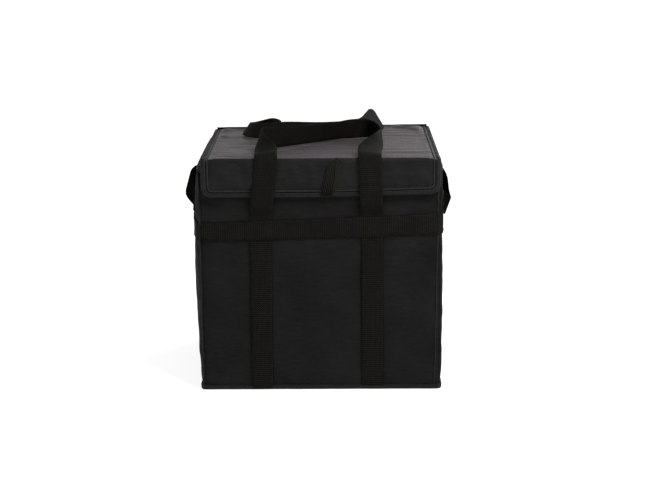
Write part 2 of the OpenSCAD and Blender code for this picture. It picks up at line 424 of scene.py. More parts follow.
def ribbon(name, low, high, material, thick=WEB_T, across=10, start_v=0.0):
    """Webbing between two edge curves of equal length, with rounded selvedges."""
    low, high = np.asarray(low), np.asarray(high)
    middle = (low + high) / 2
    tangent = np.gradient(middle, axis=0)
    steps = lengths(middle) + start_v
    share = np.linspace(0, 1, across + 1)
    belly = np.sqrt(np.clip(1 - (2 * share - 1) ** 8, 0, 1)) * 0.5 + 0.04
    belly += 0.07 * (np.abs(2 * share - 1) > 0.75) * (np.abs(2 * share - 1) < 0.97)
    front, back = [], []
    for lo, hi, t in zip(low, high, tangent):
        n = unit(np.cross(unit(t), hi - lo))
        line = lo + np.outer(share, hi - lo)
        front.append(line + np.outer(belly * thick, n))
        back.append(line - np.outer(belly * thick, n))
    verts, faces = closed_grid(front, back)
    cols, half = across + 1, len(low) * (across + 1)
    width = np.linalg.norm(high[0] - low[0])
    uvs = []
    for face in faces:
        for index in face:
            row, col = divmod(index % half, cols)
            uvs.append((share[col] * width, steps[row]))
    return add_mesh(name, verts, faces, material, uvs)


def rod(name, path, out, up, half_wide, half_thick, material, ring_path=False, power=2.6):
    """A flattened rod along a path: out is the direction of its width, and up that of its thickness."""
    path, out, up = (np.asarray(x, float) for x in (path, out, up))
    ring = 16
    angle = np.arange(ring) * 2 * math.pi / ring
    c = np.sign(np.cos(angle)) * np.abs(np.cos(angle)) ** (2 / power) * half_wide
    s = np.sign(np.sin(angle)) * np.abs(np.sin(angle)) ** (2 / power) * half_thick
    verts = np.concatenate([p + np.outer(c, o) + np.outer(s, n) for p, o, n in zip(path, out, up)])
    steps = lengths(closed(path) if ring_path else path)
    rim = np.concatenate([[0], np.cumsum(np.hypot(np.diff(c, append=c[0]), np.diff(s, append=s[0])))])
    faces, uvs = [], []
    rows = len(path)
    for i in range(rows if ring_path else rows - 1):
        for j in range(ring):
            k = (j + 1) % ring
            after = (i + 1) % rows
            faces.append((i * ring + j, after * ring + j, after * ring + k, i * ring + k))
            near, far = steps[i], steps[i + 1]
            uvs += [(rim[j], near), (rim[j], far), (rim[j + 1], far), (rim[j + 1], near)]
    if not ring_path:
        for first, order in ((0, range(ring)), ((rows - 1) * ring, range(ring - 1, -1, -1))):
            faces.append(tuple(first + j for j in order))
            uvs += [(c[j], s[j]) for j in order]
    return add_mesh(name, verts, faces, material, uvs)


def stitch_verts(start, end, normal, r=0.42 * MM):
    """One stitch: a thin bead of thread that dips into the cloth at both ends."""
    start, end, normal = np.asarray(start), np.asarray(end), unit(normal)
    way = unit(end - start)
    side = unit(np.cross(way, normal))
    verts = [start - normal * r]
    for t, lift in ((0.18, 0.6), (0.5, 1.0), (0.82, 0.6)):
        centre = start + (end - start) * t + normal * r * lift
        for a in range(5):
            turn = 2 * math.pi * a / 5
            verts.append(centre + r * (math.cos(turn) * side + math.sin(turn) * normal))
    verts.append(end - normal * r)
    return verts


def stitch_faces(first):
    """The faces of one stitch whose vertices start at first."""
    faces = [(first, first + 1 + (a + 1) % 5, first + 1 + a) for a in range(5)]
    for ring in range(2):
        low, high = first + 1 + ring * 5, first + 6 + ring * 5
        faces += [(low + a, low + (a + 1) % 5, high + (a + 1) % 5, high + a) for a in range(5)]
    return faces + [(first + 16, first + 11 + a, first + 11 + (a + 1) % 5) for a in range(5)]


def stitching(name, lines, length=3.4 * MM, gap=1.2 * MM, material="thread"):
    """Rows of stitches in one mesh. lines holds (points, normals) pairs."""
    verts, faces = [], []
    for points, normals in lines:
        points, normals = np.asarray(points, float), np.asarray(normals, float)
        if normals.ndim == 1:
            normals = np.tile(normals, (len(points), 1))
        steps = lengths(points)
        count = max(1, int(steps[-1] / (length + gap)))
        pitch = steps[-1] / count

        def at(value, table):
            return np.array([np.interp(value, steps, table[:, k]) for k in range(3)])

        for i in range(count):
            s = (i + 0.5) * pitch
            ends = [at(s + d * length / 2, points) for d in (-1, 1)]
            faces += stitch_faces(len(verts))
            verts += stitch_verts(*ends, at(s, normals))
    return add_mesh(name, verts, faces, material)


def stand_for(slot, nodes):
    """Hides the CAD nodes that a piece replaces."""
    if nodes:
        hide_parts(*nodes)


def ride(piece, body, slot, *nodes):
    """A piece that moves with one body."""
    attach(piece, body)
    stand_for(slot, nodes)


def blend(piece, bodies, start, end, slot, *nodes):
    """Bakes a piece's transform into its mesh and hides the CAD nodes that it stands for."""
    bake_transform(piece)
    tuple(start)
    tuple(end)
    stand_for(slot, nodes)


def wobble(x, y, z, seed=0.0):
    """Smooth noise from -1 to 1, the same on every run."""
    return noise.noise(Vector((x, y, z + 7.3 * seed)))


def simulate(obj, pinned, pressure, slack, cap, frames=20):
    """Lets a padded mesh settle as cloth, held at its pinned vertices. No point moves by more than cap."""
    rest = np.array([v.co for v in obj.data.vertices])
    group = obj.vertex_groups.new(name="sewn")
    group.add([int(i) for i in np.nonzero(pinned)[0]], 1.0, "REPLACE")
    cloth = obj.modifiers.new("swell", "CLOTH")
    cloth.settings.vertex_group_mass = "sewn"
    cloth.settings.use_pressure = True
    cloth.settings.uniform_pressure_force = pressure
    cloth.settings.shrink_min = -slack
    cloth.settings.quality = 6
    cloth.settings.tension_stiffness = 25
    cloth.settings.compression_stiffness = 25
    cloth.settings.bending_stiffness = 1.5
    cloth.settings.effector_weights.gravity = 0
    cloth.collision_settings.use_collision = False
    for i in range(1, frames + 1):
        bpy.context.scene.frame_set(i)
    dg = bpy.context.evaluated_depsgraph_get()
    swollen = np.array([v.co for v in obj.evaluated_get(dg).data.vertices])
    obj.modifiers.remove(cloth)
    obj.vertex_groups.remove(group)
    bpy.context.scene.frame_set(1)
    move = swollen - rest
    size = np.linalg.norm(move, axis=1, keepdims=True)
    move *= np.minimum(1, cap / np.maximum(size, 1e-9))
    obj.data.vertices.foreach_set("co", (rest + move).astype(np.float32).ravel())
    obj.data.update()


def subdivide(obj):
    """One level of subdivision, applied."""
    mod = obj.modifiers.new("smooth", "SUBSURF")
    mod.levels = mod.render_levels = 1
    dg = bpy.context.evaluated_depsgraph_get()
    mesh = bpy.data.meshes.new_from_object(obj.evaluated_get(dg))
    obj.modifiers.remove(mod)
    obj.data = mesh
    box_uv(obj)


# ---------------------------------------------------------------- stage, light and camera
def stage():
    """A pale floor that glows enough to stay white, a bright horizon and a dimmer ceiling."""
    white = Shader("studio_white")
    white.finish(
        Base_Color=(0.5, 0.5, 0.5, 1),
        Roughness=0.9,
        Specular_IOR_Level=0.0,
        Emission_Color=(1, 1, 1, 1),
        Emission_Strength=0.82,
    )
    bpy.ops.mesh.primitive_plane_add(size=40)
    floor = bpy.context.object
    floor.name = "studio_floor"
    floor.data.materials.append(white.material)
    world = bpy.data.worlds.new("studio_world")
    world.use_nodes = True
    tree = world.node_tree
    way = tree.nodes.new("ShaderNodeTexCoord")
    parts = tree.nodes.new("ShaderNodeSeparateXYZ")
    height = tree.nodes.new("ShaderNodeMapRange")
    fade = {"From Min": 0.0, "From Max": 0.45, "To Min": 1.05, "To Max": 0.38}
    for key, value in fade.items():
        height.inputs[key].default_value = value
    tree.links.new(way.outputs["Generated"], parts.inputs[0])
    tree.links.new(parts.outputs["Z"], height.inputs["Value"])
    tree.links.new(height.outputs["Result"], tree.nodes["Background"].inputs["Strength"])
    tree.nodes["Background"].inputs["Color"].default_value = (1, 1, 1, 1)
    bpy.context.scene.world = world
    bpy.context.scene.view_settings.view_transform = "Standard"


def area_light(name, place, target, size, power):
    """A soft rectangular lamp that faces its target."""
    data = bpy.data.lights.new(name, "AREA")
    data.shape = "RECTANGLE"
    data.size, data.size_y = size
    data.energy = power
    lamp = bpy.data.objects.new(name, data)
    bpy.context.collection.objects.link(lamp)
    lamp.location = place
    lamp.rotation_euler = (Vector(target) - Vector(place)).to_track_quat("-Z", "Y").to_euler()


CAMERA_PLACE = (0.028, -2.659, 0.824)
CAMERA_DOWN, CAMERA_LEFT, CAMERA_ROLL = 13.094, 0.46, -0.40  # degrees


def camera():
    """A long lens a little above the bag, standing slightly to its right."""
    data = bpy.data.cameras.new("camera")
    data.lens = 85
    cam = bpy.data.objects.new("camera", data)
    bpy.context.collection.objects.link(cam)
    cam.location = CAMERA_PLACE
    cam.rotation_euler = (math.radians(90 - CAMERA_DOWN), 0, math.radians(CAMERA_LEFT))
    cam.rotation_euler.rotate_axis("Z", math.radians(CAMERA_ROLL))
    bpy.context.scene.camera = cam


stage()
area_light("back_soft", (1.35, 1.4, 1.3), (0, 0, 0.4), (1.2, 0.7), 21)
area_light("top_front_soft", (0.7, -0.85, 1.6), (0, -0.1, 0.25), (0.7, 0.4), 34)
camera()


# ---------------------------------------------------------------- the body's four padded walls
BULGE = {"left": (12.0, 1.0), "right": (0.5, 0.0), "front": (0.0, 0.0), "back": (3.0, 0.5)}


def side_bulge(side, along, z):
    """How far a whole wall leans out of its flat plane: its middle and its upper edge differ."""
    half = HALF_W if side in ("front", "back") else HALF_D
    middle, top = BULGE[side]
    height = clamp((z - WALL_LOW) / (WALL_TOP - WALL_LOW))
    rise = math.sin(math.pi / 2 * min(height / 0.7, 1)) ** 0.8
    fall = clamp((height - 0.8) / 0.2)
    amount = middle * rise * (1 - fall) + top * fall
    return amount * (1 - abs(along / half) ** 3) * MM


def wall_profile(along, z, half, seed, strapped):
    """How far a wall's cover stands out at a point: a soft crown, straps pressed in, puckers and folds."""
    across = along / half
    height = (z - WALL_LOW) / (WALL_TOP - WALL_LOW)
    crown = 2.4 * (1 - across**4) * (0.35 + 0.65 * math.sin(math.pi * clamp(height)))
    soft = 1.6 * wobble(along * 14, z * 9, 0, seed) + 0.9 * wobble(along * 20, z * 52, 1, seed)
    near_edge = math.exp(-(half - abs(along)) / 0.012)
    near_base = math.exp(-(z - WALL_LOW) / 0.015)
    near_band = math.exp(-abs(z - BAND_LOW) / 0.012) + math.exp(-abs(z - BAND_TOP) / 0.016)
    pucker = 0.8 * near_edge * wobble(0, z * 110, 2, seed)
    pucker += 0.7 * near_base * wobble(along * 100, 0, 3, seed)
    pucker += 0.7 * near_band * wobble(along * 80, z * 20, 4, seed)
    squeeze = 1.0 if strapped else 2.6
    tuck = -1.2 * near_base - squeeze * math.exp(-abs(z - (BAND_LOW + BAND_TOP) / 2) / 0.02)
    fold = 0.0
    above = z - BAND_TOP
    if above > 0:
        corner = math.exp(-(((half - abs(along)) / 0.06) ** 2))
        slant = wobble(along * 20 + z * 46, z * 30 - along * 12, 5, seed)
        fold = 5.2 * (0.4 + corner) * math.sin(min(above / 0.05, 1) * math.pi) * slant
    if strapped:
        middle = FRONT_SHIFT if seed == 0 else 0
        for x in (middle - STRAP_X, middle + STRAP_X):
            gap = max(abs(along - x) - WEB_W / 2, 0)
            pucker -= 1.0 * math.exp(-gap / 0.010)
    rim = 1 - math.exp(-(WALL_TOP - z) / 0.012)
    return (crown + soft + pucker + tuck + fold) * rim * MM


def wall(side, seed):
    """One wall: cover and foam in one padded form."""
    strapped = side in ("front", "back")
    half = HALF_W if strapped else HALF_D
    out_at = FACING[side]
    inner = 10.5 * MM
    cell = 5.5 * MM
    cols, rows = int(2 * half / cell), int((WALL_TOP - WALL_LOW) / cell)
    corner = 7 * MM

    def at(i, j):
        z = WALL_LOW + (WALL_TOP - WALL_LOW) * i / rows
        along = -half + 2 * half * j / cols
        edge = max((abs(along) - (half - corner)) / corner, 0)
        rounded = corner * (1 - math.sqrt(max(1 - (0.86 * edge) ** 2, 0)))
        lean = side_bulge(side, along, z)
        out = wall_profile(along, z, half, seed, strapped) - rounded + lean
        place = along * (1 - 1.2 * MM / half)
        return out_at(place, z, out), out_at(place * (half - inner) / half, z, lean - inner)

    verts, faces = grid_of(range(rows + 1), range(cols + 1), at)
    piece = add_mesh(f"{side}_wall", verts, faces, "cover")
    height = np.array([v[2] for v in verts])
    along = np.array([j for row in range(rows + 1) for j in range(cols + 1)] * 2)
    sewn = (along <= 1) | (along >= cols - 1)
    sewn |= (height < WALL_LOW + 9 * MM) | (height > WALL_TOP - 9 * MM)
    sewn[len(verts) // 2 :] = True
    simulate(piece, sewn, 1.5, 0.012, 3.0 * MM if strapped else 1.8 * MM)
    subdivide(piece)
    ride(piece, "carcass", "cover_fabric", f"{side}_cover", f"{side}_foam")
    return piece


FACING = {
    "front": lambda a, z, out: (a, -HALF_D - out, z),
    "back": lambda a, z, out: (-a, HALF_D + out, z),
    "right": lambda a, z, out: (HALF_W + out, a, z),
    "left": lambda a, z, out: (-HALF_W - out, -a, z),
}
WALLS = [wall(side, seed) for seed, side in enumerate(FACING)]


def tree_of(*pieces):
    """One search tree over the faces of several pieces."""
    verts, faces = [], []
    for piece in pieces:
        first = len(verts)
        verts += [v.co.copy() for v in piece.data.vertices]
        faces += [tuple(first + i for i in face.vertices) for face in piece.data.polygons]
    return BVHTree.FromPolygons(verts, faces)


wall_tree = tree_of(*WALLS)


def surface(side, along, z):
    """How far out a wall's cover stands at a point, along its own direction."""
    start, behind = Vector(FACING[side](along, z, 0.05)), Vector(FACING[side](along, z, 0.0))
    hit = wall_tree.ray_cast(start, (behind - start).normalized(), 0.2)[0]
    return 0.0 if hit is None else 0.05 - (hit - start).length


def smoothed(values, reach):
    """Each value's mean with the values up to reach places away."""
    padded = np.concatenate([np.full(reach, values[0]), values, np.full(reach, values[-1])])
    return np.convolve(padded, np.ones(2 * reach + 1) / (2 * reach + 1), "valid")


# ---------------------------------------------------------------- straps and the waist band
def strap(name, side, x, node):
    """A vertical strap, from the base's binding to the waist band. Gives its two rows of stitches."""
    heights = np.arange(STRAP_LOW - 5 * MM, BAND_TOP - 2 * MM, 4 * MM)
    outs = [max(surface(side, x + d * WEB_W, z) for d in (-0.5, -0.25, 0, 0.25, 0.5)) for z in heights]
    outs = smoothed(np.array(outs), 3) + 0.5 * WEB_T + 0.15 * MM
    sway = [0.6 * MM * wobble(x * 9, z * 7, 2) for z in heights]
    low = [FACING[side](x - WEB_W / 2 + s, z, o) for z, o, s in zip(heights, outs, sway)]
    high = [FACING[side](x + WEB_W / 2 + s, z, o) for z, o, s in zip(heights, outs, sway)]
    ride(ribbon(name, low, high, "web"), "carcass", "webbing", node)
    rows = []
    facing = np.subtract(FACING[side](0, 0, 1), FACING[side](0, 0, 0))
    for edge in (-1, 1):
        at = x + edge * (WEB_W / 2 - 2.6 * MM)
        points = [FACING[side](at + s, z, o + 0.5 * WEB_T) for z, o, s in zip(heights, outs, sway)]
        rows.append((points[3:], facing))
    return rows


stitch_rows = []
for side in ("front", "back"):
    for hand, x in (("left", -STRAP_X), ("right", STRAP_X)):
        place = x + FRONT_SHIFT if side == "front" else -x
        stitch_rows += strap(f"{side}_{hand}_webbing", side, place, f"{side}_{hand}_strap")


def band_ring():
    """Places round the body, corner to corner, as (side, along)."""
    out = []
    for side, half in (("front", HALF_W), ("right", HALF_D), ("back", HALF_W), ("left", HALF_D)):
        reach = half - 7 * MM
        for along in np.linspace(-reach, reach, int(2 * reach / (4 * MM))):
            out.append((side, along))
    return out


def band_shift(x, y, upper):
    """How far an edge of the band is off its level: it climbs to the right over the front face."""
    fade = clamp((0.06 - y) / 0.2)
    level, climb = (0.0, 8.0) if upper else (3.5, 5.5)
    return (level + climb * x / HALF_W) * fade * MM


def waist_band():
    """The band round the body, its ends overlapping at the back. Gives its two rows of stitches."""
    ring = band_ring()
    heights = np.linspace(BAND_LOW + 4 * MM, BAND_TOP - 4 * MM, 4)
    outs = []
    for side, along in ring:
        out = max(surface(side, along, z) for z in heights)
        if side in ("front", "back"):
            near = abs(abs(along - (FRONT_SHIFT if side == "front" else 0)) - STRAP_X)
            out += WEB_T * 1.05 * (1 - clamp((near - WEB_W / 2) / (4 * MM)))
        outs.append(out + 0.5 * WEB_T + 0.2 * MM)
    outs = np.array(outs)
    wide = np.concatenate([outs[-3:], outs, outs[:3]])
    outs = np.maximum(np.convolve(wide, np.ones(7) / 7, "valid"), outs)
    low, high = [], []
    for (side, along), out in zip(ring, outs):
        wave = 0.8 * MM * wobble(along * 11, out * 40, 6)
        for z, edge in ((BAND_LOW, low), (BAND_TOP, high)):
            point = np.array(FACING[side](along, z, out))
            point[2] += band_shift(point[0], point[1], z == BAND_TOP) + wave
            edge.append(point)
    low, high = np.array(low), np.array(high)
    start = len(ring) * 5 // 8
    order = [(start + i) % len(ring) for i in range(len(ring) + 6)]
    low, high = low[order], high[order]
    overlap = np.linspace(0, 1, len(order))
    lift = np.clip((overlap - 0.985) / 0.01, 0, 1) * WEB_T * 1.15
    outward = low[:, :2] / np.linalg.norm(low[:, :2], axis=1, keepdims=True)
    for edge in (low, high):
        edge[:, :2] += outward * lift[:, None]
    ride(ribbon("waist_band_webbing", low, high, "web"), "carcass", "webbing", "waist_band")
    tangent = np.gradient((low + high) / 2, axis=0)
    normals = np.array([unit(np.cross(t, h - l)) for t, h, l in zip(tangent, high, low)])
    if normals[0] @ np.array([*outward[0], 0]) < 0:
        normals = -normals
    rows = []
    for share in (0.07, 0.93):
        line = low + (high - low) * share + normals * WEB_T * 0.5
        rows.append((line, normals))
    return rows


stitch_rows += waist_band()


# ---------------------------------------------------------------- bindings and rim of the body
def rounded_ring(half_x, half_y, r, z, step=4 * MM):
    """Points and outward directions of a rounded rectangle at height z."""
    points, outs = [], []
    corners = ((1, -1, -90), (1, 1, 0), (-1, 1, 90), (-1, -1, 180))
    for n, (sx, sy, first) in enumerate(corners):
        centre = np.array([sx * (half_x - r), sy * (half_y - r)])
        for a in np.linspace(first, first + 90, 7):
            way = np.array([math.cos(math.radians(a)), math.sin(math.radians(a))])
            points.append([*(centre + r * way), z])
            outs.append([*way, 0])
        sx2, sy2, after = corners[(n + 1) % 4]
        nxt = np.array([sx2 * (half_x - r), sy2 * (half_y - r)]) + r * way
        here = np.array(points[-1][:2])
        for t in np.linspace(0, 1, int(np.linalg.norm(nxt - here) / step))[1:-1]:
            points.append([*(here + (nxt - here) * t), z])
            outs.append([*way, 0])
    return np.array(points), np.array(outs)


def leaning(points, outs):
    """Moves points of a ring outward with the walls that they lie along."""
    moved = []
    for p, o in zip(points, outs):
        right, back = abs(o[0]) > 0.99, abs(o[1]) > 0.99
        side = ("right" if o[0] > 0 else "left") if right else ("back" if o[1] > 0 else "front")
        along = p[1] if right else p[0]
        moved.append(p + o * (side_bulge(side, along, p[2]) if right or back else 0.0))
    return np.array(moved)


def base_binding():
    """Tape round the seam between the walls and the base."""
    z = (WALL_LOW + BASE_BIND_TOP) / 2
    points, outs = rounded_ring(HALF_W + 0.4 * MM, HALF_D + 0.4 * MM, 8 * MM, z)
    points[:, 2] += [0.35 * MM * wobble(p[0] * 40, p[1] * 40, 3) for p in points]
    up = np.tile([0, 0, 1.0], (len(points), 1))
    piece = rod("base_binding_tape", points, up, outs, 4.1 * MM, 1.7 * MM, "binding", True)
    ride(piece, "carcass", "binding", "base_binding")
    line = closed(points) + [0, 0, 2.6 * MM]
    way = closed(outs)
    return [(line + way * 1.55 * MM, way)]


def rim_binding():
    """Tape folded over the walls' top edges."""
    middle = RIM_T / 2
    points, outs = rounded_ring(HALF_W - middle, HALF_D - middle, 6 * MM, RIM_TOP - 6.2 * MM)
    points = leaning(points, outs)
    up = np.tile([0, 0, 1.0], (len(points), 1))
    points[:, 2] += [0.5 * MM * wobble(p[0] * 30, p[1] * 30, 4) - 0.3 * MM for p in points]
    piece = rod("rim_binding_tape", points, outs, up, middle + 0.9 * MM, 6 * MM, "binding", True, 5)
    ride(piece, "carcass", "binding", "rim_binding")
    rows = []
    for way in (1, -1):
        line = closed(points) - [0, 0, 3.6 * MM]
        facing = way * closed(outs)
        rows.append((line + facing * (middle + 0.75 * MM), facing))
    return rows


def corner_bindings():
    """A bound seam down each corner. The front right one wanders onto the front face."""
    rods, rows = [], []
    for n, (sx, sy) in enumerate(((1, -1), (1, 1), (-1, 1), (-1, -1))):
        heights = np.arange(BASE_BIND_TOP - 2 * MM, WALL_TOP - 9 * MM, 4 * MM)
        out = unit([sx, sy * 0.75, 0]) if n else np.array([0, -1.0, 0])
        side = unit([sx * 0.75, -sy, 0]) if n else np.array([1.0, 0, 0])
        path = []
        for z in heights:
            shift = 0.5 * MM * wobble(n * 3.1, z * 25, 2)
            if n:
                path.append([sx * (HALF_W - 3.4 * MM), sy * (HALF_D - 2.2 * MM), z] + out * shift)
            else:
                x = HALF_W - (11 - 5 * z / WALL_TOP) * MM + 2 * shift
                path.append([x, -HALF_D - surface("front", x, z) + 1.2 * MM, z])
        path = np.array(path)
        ways = np.tile(out, (len(path), 1))
        sides = np.tile(side, (len(path), 1))
        rods.append(rod(f"corner_binding_{n}", path, ways, sides, 2.9 * MM, 1.3 * MM, "binding"))
        for turn in (1, -1):
            rows.append((path + sides * turn * 1.25 * MM + ways * 0.2 * MM, turn * sides))
    whole = join("corner_binding_tapes", rods)
    ride(whole, "carcass", "binding", "corner_bindings")
    return rows


def join(name, pieces):
    """Several meshes as one object."""
    with bpy.context.temp_override(active_object=pieces[0], selected_editable_objects=pieces):
        bpy.ops.object.join()
    pieces[0].name = name
    pieces[0].data.name = name
    return pieces[0]


stitch_rows += base_binding() + rim_binding() + corner_bindings()


# ---------------------------------------------------------------- base and liner
def base_sheet():
    """The base's cover: a thin sheet with a slight uneven lift."""
    half_x, half_y = HALF_W - 1.5 * MM, HALF_D - 1.5 * MM
    n = 40

    def at(i, j):
        x, y = half_x * (2 * j / n - 1), half_y * (2 * i / n - 1)
        lift = 0.35 * MM * (1 + wobble(x * 18, y * 18, 9))
        return (x, y, lift + 0.9 * MM), (x, y, lift)

    verts, faces = grid_of(range(n + 1), range(n + 1), at)
    piece = add_mesh("base_cloth", verts, faces, "cover")
    ride(piece, "carcass", "cover_fabric", "base_cover")


def liner():
    """The welded foil tub: crinkled walls, soft corners and a flat floor."""
    rows_wall, rows_floor = 46, 22
    floor = LINER_LOW + 1.6 * MM
    top = WALL_TOP - 1.5 * MM
    rings = []
    for i in range(rows_wall + 1):
        z = top + (floor - top) * i / rows_wall
        rings.append((LINER_X - 0.6 * MM, LINER_Y - 0.6 * MM, 11 * MM, z, 1.0))
    for i in range(1, rows_floor + 1):
        share = 1 - i / rows_floor * 0.985
        rings.append((LINER_X * share, LINER_Y * share, 11 * MM * share, floor, 0.3))
    front, back = [], []
    for n, (half_x, half_y, r, z, rough) in enumerate(rings):
        points, outs = rounded_ring(LINER_X - 0.6 * MM, LINER_Y - 0.6 * MM, 11 * MM, z, 7 * MM)
        share = half_x / (LINER_X - 0.6 * MM)
        points[:, :2] *= share
        points, outs = closed(points), closed(outs)
        inner = []
        for p, o in zip(points, outs):
            ridge = abs(wobble(p[0] * 28, p[1] * 28 + p[2] * 24, p[2] * 18, 11))
            crease = abs(wobble(p[0] * 75, p[1] * 75, p[2] * 75, 12))
            depth = (2.2 * ridge + 0.8 * crease) * MM * rough
            inner.append(p - o * (0.5 * MM + depth) if rough == 1.0 else p + [0, 0, depth * 2])
        front.append(inner)
        back.append(points + (outs * 0.2 * MM if rough == 1.0 else [0, 0, -0.5 * MM]))
    verts, faces = closed_grid(np.array(back), np.array(front))
    piece = add_mesh("foil_tub", verts, faces, "foil")
    weld(piece)
    ride(piece, "carcass", "foil_liner", "liner_tub")


def weld(obj, distance=0.02 * MM):
    """Merges vertices that lie together, such as a ring's first and last column."""
    mod = obj.modifiers.new("weld", "WELD")
    mod.merge_threshold = distance
    dg = bpy.context.evaluated_depsgraph_get()
    mesh = bpy.data.meshes.new_from_object(obj.evaluated_get(dg))
    obj.modifiers.remove(mod)
    obj.data = mesh


base_sheet()
liner()


# ---------------------------------------------------------------- the lid panel, which folds into the flap
BACK_Y = HALF_D - 1.0 * MM
MID_Z = LID_TOP - PAD_HALF
FLAP_MID = (FLAP_FRONT + FLAP_BACK) / 2
LID_RUN = BACK_Y - (FLAP_MID + FOLD_R)
FOLD_RUN = FOLD_R * math.pi / 2
LID_RISE = 2 * MM  # how far the lid's padding holds it up
FLAP_TOP = MID_Z + LID_RISE - FOLD_R
FLAP_RUN = FLAP_TOP - (FLAP_LOW + 8.5 * MM)
PANEL_RUN = LID_RUN + FOLD_RUN + FLAP_RUN
PANEL_X = LID_X - 3.5 * MM
FLAP_ROUND = 15 * MM


def lid_warp(x, y):
    """The lid's back right corner stands a little higher than the others."""
    share = clamp((y - FLAP_MID) / (BACK_Y - FLAP_MID))
    lifted = 4 * MM * (0.5 + 0.5 * x / PANEL_X) * share
    return LID_RISE + lifted


def lid_skew(x, share):
    """The lid sits a little to the right: its left edge is drawn in, most at the front."""
    return (2.5 + 1.5 * share) * MM * max(-x / PANEL_X, 0)


def panel_point(x, s, lift):
    """A point on the lid panel: s runs from the hinge, over the fold and down the flap; lift is outward."""
    x += lid_skew(x, min(s / LID_RUN, 1))
    if s < LID_RUN:
        y = BACK_Y - s
        return np.array([x, y, MID_Z + lift + lid_warp(x, y)])
    if s < LID_RUN + FOLD_RUN:
        a = (s - LID_RUN) / FOLD_R
        r = FOLD_R + lift
        return np.array([x, FLAP_MID + FOLD_R - r * math.sin(a), FLAP_TOP + r * math.cos(a)])
    down = s - LID_RUN - FOLD_RUN
    climb = 4.5 * MM * max(x / PANEL_X, 0) * down / FLAP_RUN
    return np.array([x, FLAP_MID - lift, FLAP_TOP - down + climb])


def panel_half_width(s):
    """The panel's half width, drawn in round the flap's lower corners."""
    down = s - (PANEL_RUN - FLAP_ROUND)
    if down <= 0:
        return PANEL_X
    return PANEL_X - FLAP_ROUND + math.sqrt(max(FLAP_ROUND**2 - down**2, 0))


def panel_lift(x, s, way):
    """Half thickness at a point: pinched at the bound edges, crowned between, with puckers."""
    half = panel_half_width(s)
    edge = min(half - abs(x), PANEL_RUN - s) - 8 * MM
    rise = 1 - math.exp(-max(edge, 0) / (6 * MM))
    back = 1 - 0.6 * math.exp(-s / (6 * MM))
    fold = math.exp(-(((s - LID_RUN - FOLD_RUN / 2) / (6 * MM)) ** 2))
    lift = EDGE_HALF + (PAD_HALF - EDGE_HALF) * rise * back
    lift += ((4.6 if way > 0 else 1.2) * MM * (0.5 + 0.5 * rise) - lift) * fold
    if way > 0:
        share = min(s / LID_RUN, 1)
        crown = 1.8 * MM * math.sin(math.pi * share) * (1 - (x / half) ** 4)
        ripple = 2.2 * wobble(x * 5, s * 34, 0, 21) + 1.5 * wobble(x * 8, s * 90, 1, 21)
        ripple *= 1.0 if s < LID_RUN else 0.45
        welt = 2.2 * math.exp(-(((s - LID_RUN + 24 * MM) / (9 * MM)) ** 2))
        ripple += welt * (0.7 + 0.5 * wobble(x * 7, 0, 0, 24))
        pucker = 1.1 * math.exp(-max(edge, 0) / (12 * MM)) * wobble(x * 55, s * 55, 2, 22)
        lift += crown + (ripple + pucker) * rise * (1 - fold) * MM
    return lift


def panel_runs(step):
    """Places along the panel for its rows of points, closer together round the fold."""
    lid = np.linspace(0, LID_RUN, int(LID_RUN / step))[:-1]
    fold = np.linspace(LID_RUN, LID_RUN + FOLD_RUN, 6)[:-1]
    flap = np.linspace(LID_RUN + FOLD_RUN, PANEL_RUN, int(FLAP_RUN / step))
    return [*lid, *fold, *flap]


def lid_panel():
    """Cover and foam of the lid and its flap: one padded form, folded over the body's front edge."""
    runs = panel_runs(4.6 * MM)
    rows, cols = len(runs) - 1, int(2 * PANEL_X / (5 * MM))
    front, back = [], []
    for s in runs:
        half = panel_half_width(min(s, PANEL_RUN - 0.6 * MM))
        xs = [half * (2 * j / cols - 1) for j in range(cols + 1)]
        front.append([panel_point(x, s, panel_lift(x, s, 1)) for x in xs])
        back.append([panel_point(x, s, -panel_lift(x, s, -1)) for x in xs])
    verts, faces = closed_grid(front, back)
    piece = add_mesh("lid_panel", verts, faces, "lid")
    piece.data.materials.append(MATERIALS["flap"])
    row = np.repeat(np.arange(rows + 1), cols + 1)
    col = np.tile(np.arange(cols + 1), rows + 1)
    s = np.array(runs)[row]
    sewn = (row <= 2) | (row >= rows - 2) | (col <= 2) | (col >= cols - 2)
    sewn |= np.abs(s - LID_RUN - FOLD_RUN / 2) < 6 * MM
    sewn = np.concatenate([sewn, np.ones(len(sewn), bool)])
    simulate(piece, sewn, 3.0, 0.02, 3.0 * MM)
    subdivide(piece)
    # The top faces take the lid cloth, painted lighter for the light on the top; the flap's faces take the
    # darker flap cloth.
    for face in piece.data.polygons:
        on_flap = face.center[1] < FLAP_MID - 1.2 * MM or face.center[2] < MID_Z - 7 * MM
        face.material_index = 1 if on_flap else 0
    return piece


def flap_bend(piece, slot, *nodes):
    """Hands a piece to blend, with the lid and flap as its bodies and two points round the front fold."""
    start = (0, FLAP_MID + 12 * MM, MID_Z + 3 * MM)
    end = (0, FLAP_MID - 1 * MM, MID_Z - 10 * MM)
    blend(piece, ("lid", "flap"), start, end, slot, *nodes)


panel = lid_panel()
panel_tree = tree_of(panel)
flap_bend(panel, "lid_fabric", "lid_cover", "lid_foam", "flap_cover", "flap_foam")


def panel_edge():
    """The bound edge from the hinge down one side, round the flap and back up the other."""
    side = [(PANEL_X, s) for s in np.arange(2 * MM, PANEL_RUN - FLAP_ROUND, 3.5 * MM)]
    arc = []
    for a in np.linspace(0, math.pi / 2, 9):
        x = PANEL_X - FLAP_ROUND + FLAP_ROUND * math.cos(a)
        arc.append((x, PANEL_RUN - FLAP_ROUND + FLAP_ROUND * math.sin(a)))
    low = [(x, PANEL_RUN) for x in np.linspace(PANEL_X - FLAP_ROUND, 0, 50)[1:-1]]
    half = side + arc + low
    return [(-x, s) for x, s in half] + [(0, PANEL_RUN)] + [(x, s) for x, s in reversed(half)]


